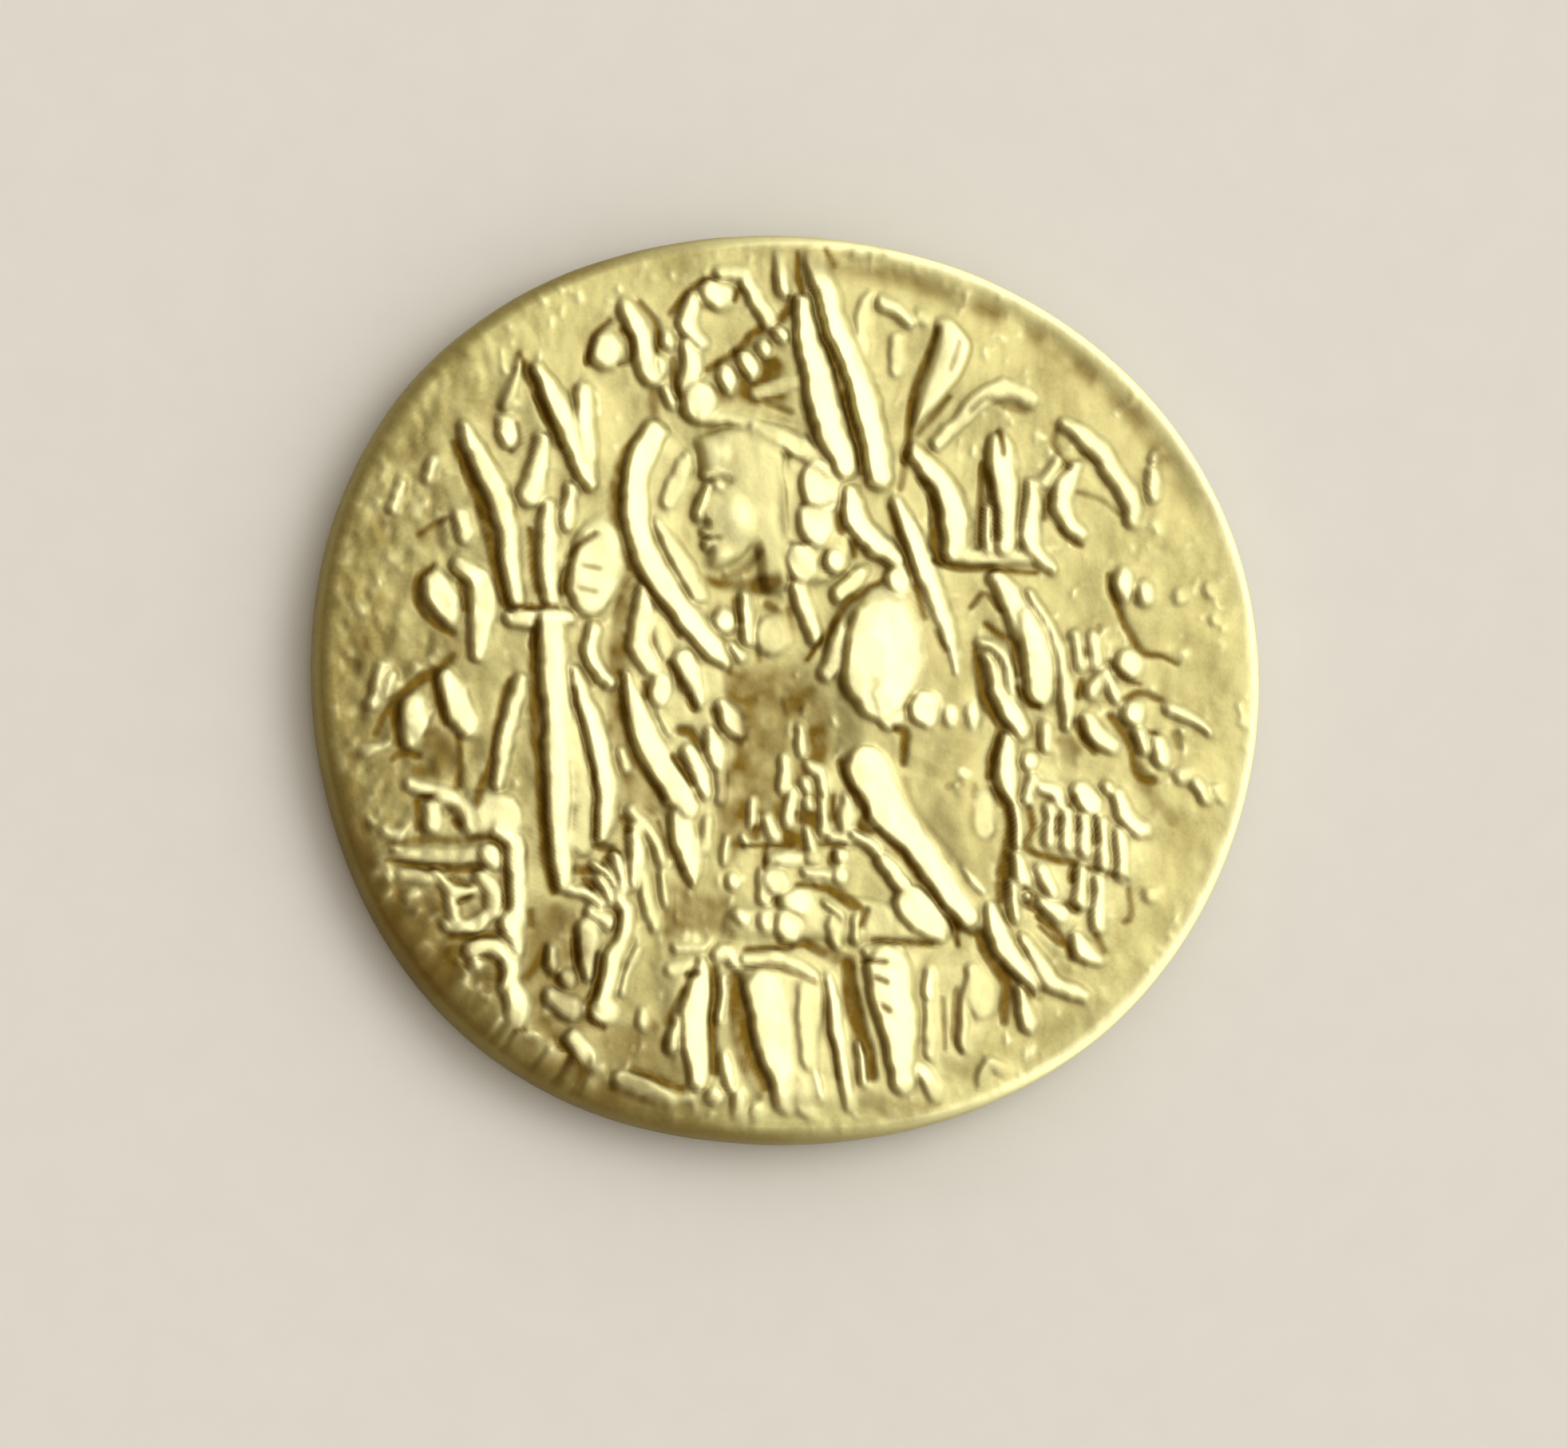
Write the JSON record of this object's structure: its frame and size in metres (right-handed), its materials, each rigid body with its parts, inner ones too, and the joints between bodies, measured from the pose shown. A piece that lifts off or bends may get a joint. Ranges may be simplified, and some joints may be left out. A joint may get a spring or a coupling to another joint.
{
  "type": "gold coin",
  "caption": "Struck gold coin with a robed standing figure between tridents on one side and a seated figure on the other.",
  "frame": {"origin": "centre of the coin's box, on the plane it lies on", "axes": "+Z out of the side with the standing figure, +Y towards the figure's crown, +X along the longer diameter"},
  "size_m": [0.021, 0.0198, 0.0019],
  "materials": {
    "gold": "worn struck gold, satin, pale olive yellow with brown toning in the hollows"
  },
  "bodies": {
    "root": {"coin": "gold"}
  },
  "joints": []
}
